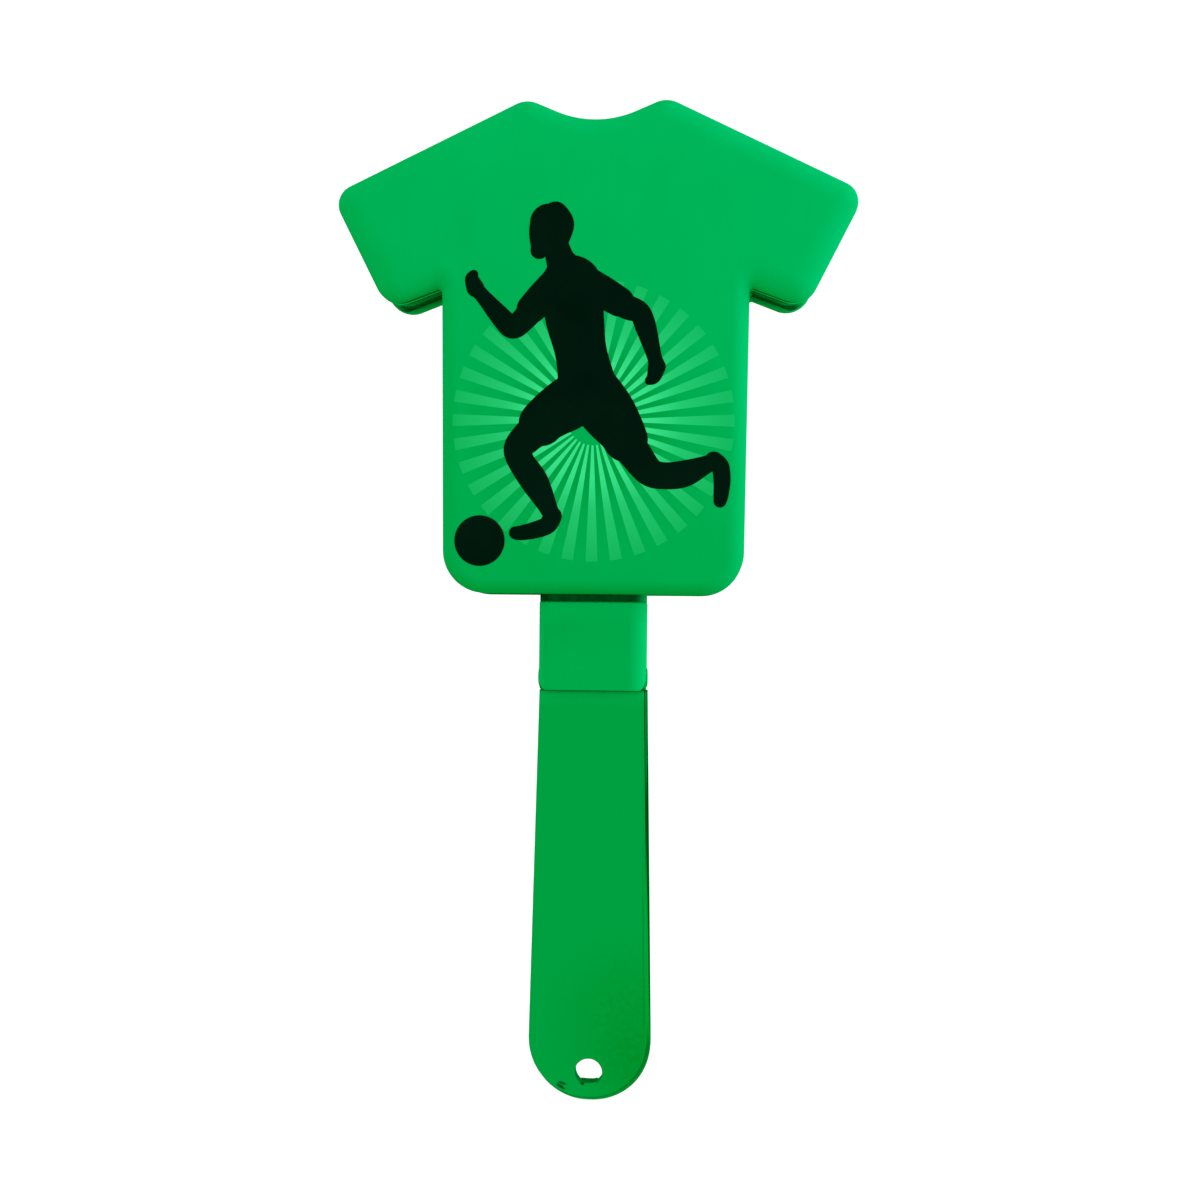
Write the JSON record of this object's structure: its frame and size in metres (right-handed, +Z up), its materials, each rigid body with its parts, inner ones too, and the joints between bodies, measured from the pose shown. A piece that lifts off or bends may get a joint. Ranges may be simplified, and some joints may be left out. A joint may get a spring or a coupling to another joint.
{
  "type": "hand clapper",
  "caption": "Shirt-shaped plastic hand clapper: a flat paddle in one with its handle, between hinged pillow-edged leaves that swing on a pin across the wrist and slap it.",
  "frame": {"origin": "middle of the hand grip, on the handle's mid-plane", "axes": "+Z up the handle towards the shirt's neck, -Y towards the printed front, +X to the right seen from the front"},
  "size_m": [0.1264, 0.0249, 0.2431],
  "materials": {
    "leaf_plastic": "satin moulded plastic, saturated green",
    "core_plastic": "satin moulded plastic, saturated green, a little darker",
    "pin_plastic": "smooth moulded plastic, saturated green"
  },
  "bodies": {
    "handle": {"core_front_shell": "core_plastic", "core_rear_shell": "core_plastic", "hinge_pin_sleeve": "pin_plastic", "hinge_pin_plug": "pin_plastic"},
    "front_leaf": {"front_leaf": "leaf_plastic"},
    "rear_leaf": {"rear_leaf": "leaf_plastic"}
  },
  "joints": [
    {"name": "front_leaf_swing", "type": "hinge", "parent": "handle", "child": "front_leaf", "pos_m": [0, 0, 0.0531], "axis": [1, 0, 0], "range_deg": [-0.8, 19.2]},
    {"name": "rear_leaf_swing", "type": "hinge", "parent": "handle", "child": "rear_leaf", "pos_m": [0, 0, 0.0531], "axis": [-1, 0, 0], "range_deg": [-1.5, 18.5]}
  ]
}
